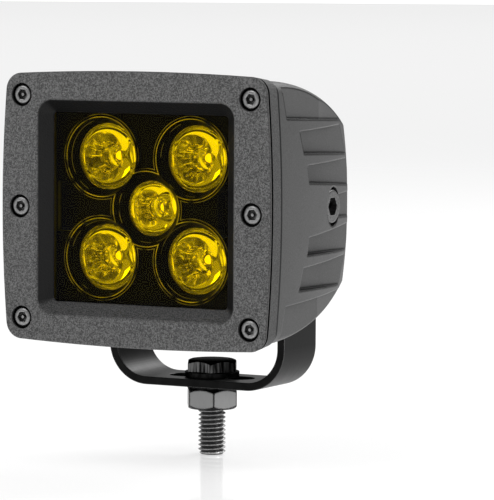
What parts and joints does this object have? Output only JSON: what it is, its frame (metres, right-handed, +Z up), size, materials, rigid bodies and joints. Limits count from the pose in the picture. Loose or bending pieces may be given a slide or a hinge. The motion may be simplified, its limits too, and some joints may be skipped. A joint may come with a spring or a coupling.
{
  "type": "fog light",
  "caption": "Square LED fog light: finned cast housing, bolted bezel, amber window over round optics, tilting on a slotted U bracket with a threaded mounting stud.",
  "frame": {"origin": "on the mounting stud's axis, at the underside of the clamping nut", "axes": "+Z up along the stud, -Y the way the lamp shines, +X the lamp's right-hand side seen from the front"},
  "size_m": [0.0864, 0.0633, 0.113],
  "materials": {
    "amber_lens": "clear amber, glossy",
    "bezel_coat": "textured powder coat, dark grey",
    "black_rubber": "soft matte",
    "board_green": "green solder mask",
    "board_white": "white solder mask on aluminium",
    "bolt_black": "black oxide, satin",
    "bracket_coat": "satin black coat on steel strap",
    "capacitor_can": "bare can",
    "chip_black": "matte moulding",
    "clear_optic": "clear polished moulding",
    "ferrite": "matte ferrite",
    "gland_black": "matte black moulding",
    "housing_coat": "fine satin powder coat over die-cast aluminium, dark grey",
    "led_phosphor": "yellow phosphor under a clear dome",
    "nut_grey": "dark plated steel",
    "pin_metal": "tinned pins",
    "screw_steel": "blackened steel, satin",
    "thermal_grey": "soft grey pad",
    "tray_black": "glossy black moulding",
    "washer_black": "matte black",
    "washer_steel": "black oxide, satin"
  },
  "bodies": {
    "stud": {"mount_bolt": "bolt_black", "lock_washer": "washer_steel", "mount_nut": "nut_grey"},
    "washer": {"flat_washer": "washer_steel"},
    "bracket": {"bracket": "bracket_coat"},
    "lamp": {"bezel": "bezel_coat", "bezel_screws": "screw_steel", "lens": "amber_lens", "lens_gasket": "black_rubber", "optic_tray": "tray_black", "led_board": "board_white", "thermal_pad": "thermal_grey", "driver_pad": "thermal_grey", "led_board_screws": "screw_steel", "driver_board": "board_green", "driver_inductor": "ferrite", "driver_capacitor": "capacitor_can", "driver_chip": "chip_black", "board_link_pins": "pin_metal", "housing": "housing_coat", "cable_gland": "gland_black", "gland_seal": "black_rubber", "side_bolt_left": "bolt_black", "side_bolt_right": "bolt_black", "pivot_washer_left": "washer_black", "pivot_washer_right": "washer_black", "optic_top_left": "clear_optic", "led_top_left": "led_phosphor", "optic_top_right": "clear_optic", "led_top_right": "led_phosphor", "optic_bottom_left": "clear_optic", "led_bottom_left": "led_phosphor", "optic_bottom_right": "clear_optic", "led_bottom_right": "led_phosphor", "optic_centre": "clear_optic", "led_centre": "led_phosphor"}
  },
  "joints": [
    {"name": "pan", "type": "hinge", "parent": "stud", "child": "washer", "pos_m": [0, 0, 0.011], "axis": [0, 0, 1], "continuous": true},
    {"name": "slot_slide", "type": "slide", "parent": "washer", "child": "bracket", "axis": [1, 0, 0], "range_m": [-0.0092, 0.0092]},
    {"name": "tilt", "type": "hinge", "parent": "bracket", "child": "lamp", "pos_m": [0, 0, 0.0606], "axis": [1, 0, 0], "range_deg": [-180, 12]}
  ]
}
